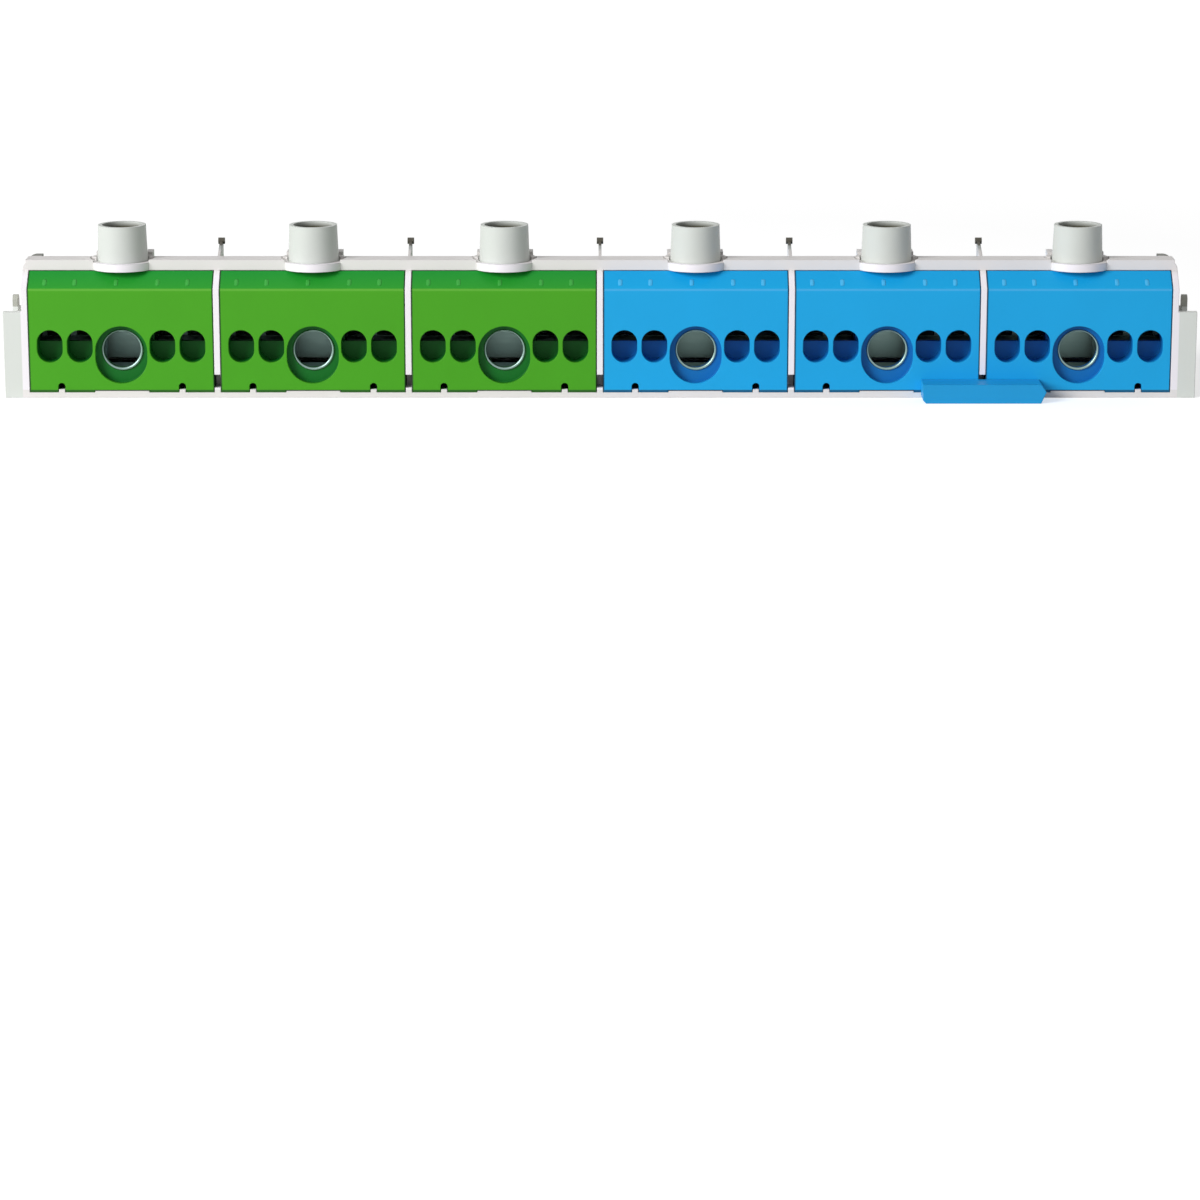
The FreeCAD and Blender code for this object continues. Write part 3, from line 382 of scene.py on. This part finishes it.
def raised_bars(middle):
    """Bars on a block's band: place + s(v) (a c(u) along x + b c'(u) up the band) + (h sin(v) - sunk) out.

    The place is a little left of each entry and 0.36 of the way up the band. c is the cosine and c' the
    sine to the power 1/2, each with its sign, so the outline is a rounded rectangle. s(v), the cosine to
    the power 0.3, and h sin(v) round it over, v going from 0 to a quarter turn."""
    turn = np.linspace(0, 2 * np.pi, MARK_STEPS, endpoint=False)
    rise = np.linspace(0, np.pi / 2, MARK_ROWS)
    slope = np.hypot(BAND_HEIGHT, BAND_DEPTH)
    up = np.array([0, BAND_DEPTH, BAND_HEIGHT]) / slope
    out = np.array([0, -BAND_HEIGHT, BAND_DEPTH]) / slope
    base = np.array([0, FRONT + MARK_PLACE * BAND_DEPTH, FACE_TOP + MARK_PLACE * BAND_HEIGHT])
    start = base + np.outer(middle + ENTRIES - MARK_LEFT, (1, 0, 0))
    wide = np.sign(np.cos(turn)) * np.abs(np.cos(turn)) ** MARK_SQUARE * MARK_HALF[0]
    tall = np.sign(np.sin(turn)) * np.abs(np.sin(turn)) ** MARK_SQUARE * MARK_HALF[1]
    outline = wide[:, None] * np.array([1, 0, 0]) + tall[:, None] * up
    shrink = np.maximum(np.cos(rise), 0)[:, None, None] ** MARK_CROWN
    lift = (MARK_RISE * np.sin(rise) - MARK_SUNK)[:, None, None] * out
    return start[:, None, None, :] + (shrink * outline + lift)[None]


# The tops of the bars are rubbed a little paler than the band.
pale_green = moulded_plastic("rubbed_green_polyamide", "#3da541", roughness=0.4)
pale_blue = moulded_plastic("rubbed_blue_polyamide", "#4bb9ef", roughness=0.4)
for way, middle in zip(WAYS, BLOCK_MIDDLES):
    earth = way <= EARTH_WAYS
    surface(f"entry_marks_{way}", raised_bars(middle), pale_green if earth else pale_blue, "bar")


# Metal inside the blocks
# Busbars of tinned copper strip, leaf springs of stainless steel, and clamp cages and screws of steel
# with blue zinc plating. All are bent or turned parts with a soft brushed gloss.

ROLLED, ROLLED_LONGER, ROLLED_DEPTH, METAL_ROUNDING = 0.35 * MM, 10, 0.02 * MM, 0.12 * MM
SMOOTHER, ROUGHER = 0.08, 0.10


def plain_metal(name, code, roughness):
    """A plated or rolled metal: gloss broken by fine marks from rolling, drawn along the bar.

    The real marks are about 0.05 mm wide, so they are drawn at 0.35 mm, and ten times as long."""
    material, tree = new_material(name)
    place = add(tree, "ShaderNodeTexCoord").outputs["Object"]
    drawn = add(tree, "ShaderNodeMapping", {"Vector": place,
                                            "Scale": (1 / ROLLED_LONGER, 1.0, 1.0)}).outputs["Vector"]
    marks = add(tree, "ShaderNodeTexNoise", {"Vector": drawn, "Scale": 1 / ROLLED,
                                             "Detail": 2.0}).outputs["Fac"]
    gloss = add(tree, "ShaderNodeMapRange", {"Value": marks, "To Min": roughness - SMOOTHER,
                                             "To Max": roughness + ROUGHER}).outputs["Result"]
    rounded = add(tree, "ShaderNodeBevel", {"Radius": METAL_ROUNDING}, samples=4).outputs["Normal"]
    rough = add(tree, "ShaderNodeBump", {"Height": marks, "Strength": 0.1, "Distance": ROLLED_DEPTH,
                                         "Normal": rounded}).outputs["Normal"]
    body = add(tree, "ShaderNodeBsdfPrincipled", {"Base Color": linear(code), "Metallic": 1.0,
                                                  "Roughness": gloss, "Normal": rough})
    add(tree, "ShaderNodeOutputMaterial", {"Surface": body.outputs["BSDF"]})
    return material


tinned = plain_metal("tinned_copper", "#8ba39d", roughness=0.40)
zinc = plain_metal("blue_zinc_plated_steel", "#84999b", roughness=0.32)
spring = plain_metal("rolled_stainless_spring_steel", "#a6a8aa", roughness=0.25)
for way in WAYS:
    finish_node(f"busbar_{way}", tinned)
    finish_node(f"clamp_cage_{way}", zinc)
    finish_node(f"contact_springs_{way}", spring)


# Lips of the wire holes
# A thin rolled ring of tinned metal round each large wire hole, in the floor of its mouth, which keeps the
# strands of a wire off the plastic.

HOLE, HOLE_HEIGHT, MOUTH_DEPTH = 3.15 * MM, 8.0 * MM, 1.5 * MM
LIP_THIN, LIP_THICK, LIP_DEEP = 0.14 * MM, 0.30 * MM, 0.30 * MM
LIP_INNER, LIP_TURNED = HOLE - 0.1 * MM, np.pi / 6
LIP_STEPS, ROLL_STEPS = 60, 12


def rolled_ring(middle):
    """A ring round the hole: radius = inner + w (1 + cos(v)) and depth = mouth + d sin(v), where w goes
    with the sine of the turn less 30 degrees, from thin at the upper left to thick at the lower right."""
    turn = np.linspace(0, 2 * np.pi, LIP_STEPS + 1)[:, None]
    roll = np.linspace(0, 2 * np.pi, ROLL_STEPS, endpoint=False)
    wide = LIP_THIN + (LIP_THICK - LIP_THIN) * (1 - np.sin(turn - LIP_TURNED)) / 2
    radius = LIP_INNER + wide * (1 + np.cos(roll))
    depth = np.broadcast_to(FRONT + MOUTH_DEPTH + LIP_DEEP * np.sin(roll), radius.shape)
    x, z = middle + radius * np.cos(turn), HOLE_HEIGHT + radius * np.sin(turn)
    return np.stack([x, depth, z], axis=-1)[None]


for way, middle in zip(WAYS, BLOCK_MIDDLES):
    surface(f"wire_hole_lip_{way}", rolled_ring(middle), tinned, "bar")


# Clamp screws
# Steel screws with a rolled thread and a cross recess, zinc plated. The thread's lead of 0.8 mm is what
# draws the cage up by 4 mm in five turns.

LEAD, THREAD_DEPTH = 0.8 * MM, 0.42 * MM
HEAD_HEIGHT, SHANK, BREAK = 2.1 * MM, 2.5 * MM, 0.2 * MM
CROSS_HALF, CROSS_REACH = 0.5 * MM, 2.6 * MM
CROSS_DEPTH, CROSS_CONE, CROSS_TAPER = 1.1 * MM, 0.3 * MM, 0.06
TURN_STEPS, LEAD_STEPS = 144, 8


def screw_surface(low, high):
    """A turned profile from the middle of the recess to the middle of the tip, carried round the axis.

    The recess is a cross. Seen from the middle its edge is at the further of min(reach / |cos|,
    half / |sin|) and the same with sine and cosine changed round, both kept off zero. Its floor is drawn in
    by the taper and is a cone. On the shank the radius is SHANK - THREAD_DEPTH w, where w is a triangle
    wave of height along the lead plus the turn, fading out at both ends."""
    middle = (np.array(low) + np.array(high)) / 2
    head = (high[0] - low[0]) / 2
    top, tip = high[2], low[2]
    neck, floor = top - HEAD_HEIGHT, top - CROSS_DEPTH
    quarter = np.arange(4) * np.pi / 2
    corner = np.arctan2(CROSS_HALF, CROSS_REACH)
    turn = np.arange(TURN_STEPS) * 2 * np.pi / TURN_STEPS
    turn = np.sort(np.concatenate([turn, quarter + corner, quarter + np.pi / 2 - corner]))
    wide, tall = np.maximum(np.abs([np.cos(turn), np.sin(turn)]), 1e-9)
    cross = np.maximum(np.minimum(CROSS_REACH / wide, CROSS_HALF / tall),
                       np.minimum(CROSS_REACH / tall, CROSS_HALF / wide))
    run = np.arange(neck - BREAK, tip + BREAK, -LEAD / LEAD_STEPS)
    outside = np.concatenate([[head - BREAK, head, head, SHANK], np.full(len(run), SHANK),
                              [SHANK - BREAK, 0]])
    radius = np.concatenate([np.outer([0, 1 - CROSS_TAPER, 1], cross),
                             np.outer(outside, np.ones_like(turn))])
    height = np.concatenate([[floor - CROSS_CONE, floor, top, top, top - BREAK, neck, neck], run,
                             [tip, tip]])
    height = np.broadcast_to(height[:, None], radius.shape)
    phase = (height - neck) / LEAD + turn / (2 * np.pi)
    wave = 1 - np.abs(2 * (phase % 1) - 1)
    fade = np.clip(np.minimum(neck - BREAK - height, height - tip - BREAK) / LEAD, 0, 1)
    radius = radius - THREAD_DEPTH * wave * fade
    x, y = radius * np.cos(turn), radius * np.sin(turn)
    return np.stack([middle[0] + x, middle[1] + y, height], axis=-1)[None]


for way in WAYS:
    screw = surface(f"threaded_screw_{way}", screw_surface(*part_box(f"clamp_screw_{way}")), zinc,
                    f"screw_{way}", sharp=35)
    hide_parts(f"clamp_screw_{way}")


# Bridge
# A copper fork that joins two neighbouring neutral busbars, under a blue cover of the blocks' polyamide
# that is pushed on from the front.

bridge_blue = moulded_plastic("bridge_blue_polyamide", "#23a0dd", roughness=0.40)
copper = plain_metal("bare_copper", "#c98a63", roughness=0.30)
finish_node("bridge_cover", bridge_blue)
finish_node("bridge_link", copper)


# Floor, light and camera
# A white table under soft studio light: a large lamp at the left front is the main one, and the white
# room fills the rest.

FLOOR_HALF, FLOOR_LEVEL = 3.0, -0.02 * MM
table_top = bpy.data.meshes.new("floor")
corners = [(-1, -1), (1, -1), (1, 1), (-1, 1)]
table_top.from_pydata([(x * FLOOR_HALF, y * FLOOR_HALF, FLOOR_LEVEL) for x, y in corners], [],
                      [(0, 1, 2, 3)])
floor = bpy.data.objects.new("floor", table_top)
bpy.context.scene.collection.objects.link(floor)


def seen_directly(tree):
    """1 for a ray from the camera, a gloss or something clear, and 0 for one that carries light."""
    rays = add(tree, "ShaderNodeLightPath").outputs
    seen = add(tree, "ShaderNodeMath", {0: rays["Is Camera Ray"], 1: rays["Is Glossy Ray"]},
               operation="MAXIMUM").outputs[0]
    return add(tree, "ShaderNodeMath", {0: seen, 1: rays["Is Transmission Ray"]},
               operation="MAXIMUM").outputs[0]


# The table glows white where it is seen directly and keeps the shadow: it glows by 0.55 up to 0.2 m from
# the middle of the bar and by 1 from 0.9 m on.
GLOW_NEAR, GLOW_FAR, GLOW_LEAST = 0.2, 0.9, 0.55
white_table, tree = new_material("white_laminate_table")
matt = add(tree, "ShaderNodeBsdfDiffuse", {"Color": linear("#e6e6e6")})
place = add(tree, "ShaderNodeTexCoord").outputs["Object"]
far = add(tree, "ShaderNodeVectorMath", {0: place}, operation="LENGTH").outputs["Value"]
level = add(tree, "ShaderNodeMapRange", {"Value": far, "From Min": GLOW_NEAR, "From Max": GLOW_FAR,
                                         "To Min": GLOW_LEAST}).outputs[0]
lift = add(tree, "ShaderNodeMath", {0: seen_directly(tree), 1: level}, operation="MULTIPLY").outputs[0]
glow = add(tree, "ShaderNodeEmission", {"Color": (1, 1, 1, 1), "Strength": lift})
both = add(tree, "ShaderNodeAddShader", {0: matt.outputs["BSDF"], 1: glow.outputs["Emission"]})
add(tree, "ShaderNodeOutputMaterial", {"Surface": both.outputs["Shader"]})
table_top.materials.append(white_table)

# The room is white where it is seen directly, and lights the bar at 0.30 of that.
ROOM_LIGHT = 0.30
world = bpy.data.worlds.new("white_room")
bpy.context.scene.world = world
world.use_nodes = True
tree = world.node_tree
tree.nodes.clear()
level = add(tree, "ShaderNodeMapRange", {"Value": seen_directly(tree), "To Min": ROOM_LIGHT}).outputs[0]
room = add(tree, "ShaderNodeBackground", {"Color": (1, 1, 1, 1), "Strength": level})
add(tree, "ShaderNodeOutputWorld", {"Surface": room.outputs["Background"]})

# The lamp is 1.3 m away at the left front, 25 degrees up, and is turned to the middle of the bar.
LAMP_PLACE, LAMP_AIM = np.array([-0.92, -0.77, 0.56]), np.array([0, 0, 0.01])
LAMP_SIDE, LAMP_WATTS = 0.6, 15.5
key_light = bpy.data.lights.new("key_lamp", "AREA")
key_light.size, key_light.energy = LAMP_SIDE, LAMP_WATTS
key_lamp = bpy.data.objects.new("key_lamp", key_light)
bpy.context.scene.collection.objects.link(key_lamp)
key_lamp.location = LAMP_PLACE
x, y, z = LAMP_PLACE - LAMP_AIM
key_lamp.rotation_euler = (np.arctan2(np.hypot(x, y), z), 0, np.arctan2(x, -y))

# The picture is taken 0.7 m from the blocks' faces and 10 degrees above them. The bar's middle height is
# on row 327 of the picture, above its middle, so the camera's axis is tipped down by that angle more. The
# focal length and the picture's side are in pixels, and the sensor in millimetres.
CAMERA_AWAY, CAMERA_UP = 0.700, np.radians(10)
MIDDLE_HEIGHT, MIDDLE_ROW = 12 * MM, 327
FOCAL, PICTURE, SENSOR = 4186, 1200, 36
lens = bpy.data.cameras.new("camera")
lens.sensor_width = SENSOR
lens.lens = FOCAL / PICTURE * SENSOR
camera = bpy.data.objects.new("camera", lens)
bpy.context.scene.collection.objects.link(camera)
camera.location = (0, FRONT - CAMERA_AWAY * np.cos(CAMERA_UP),
                   MIDDLE_HEIGHT + CAMERA_AWAY * np.sin(CAMERA_UP))
tip = CAMERA_UP + np.arctan((PICTURE / 2 - MIDDLE_ROW) / FOCAL)
camera.rotation_euler = (np.pi / 2 - tip, 0, 0)
bpy.context.scene.camera = camera
bpy.context.scene.view_settings.view_transform = "Standard"
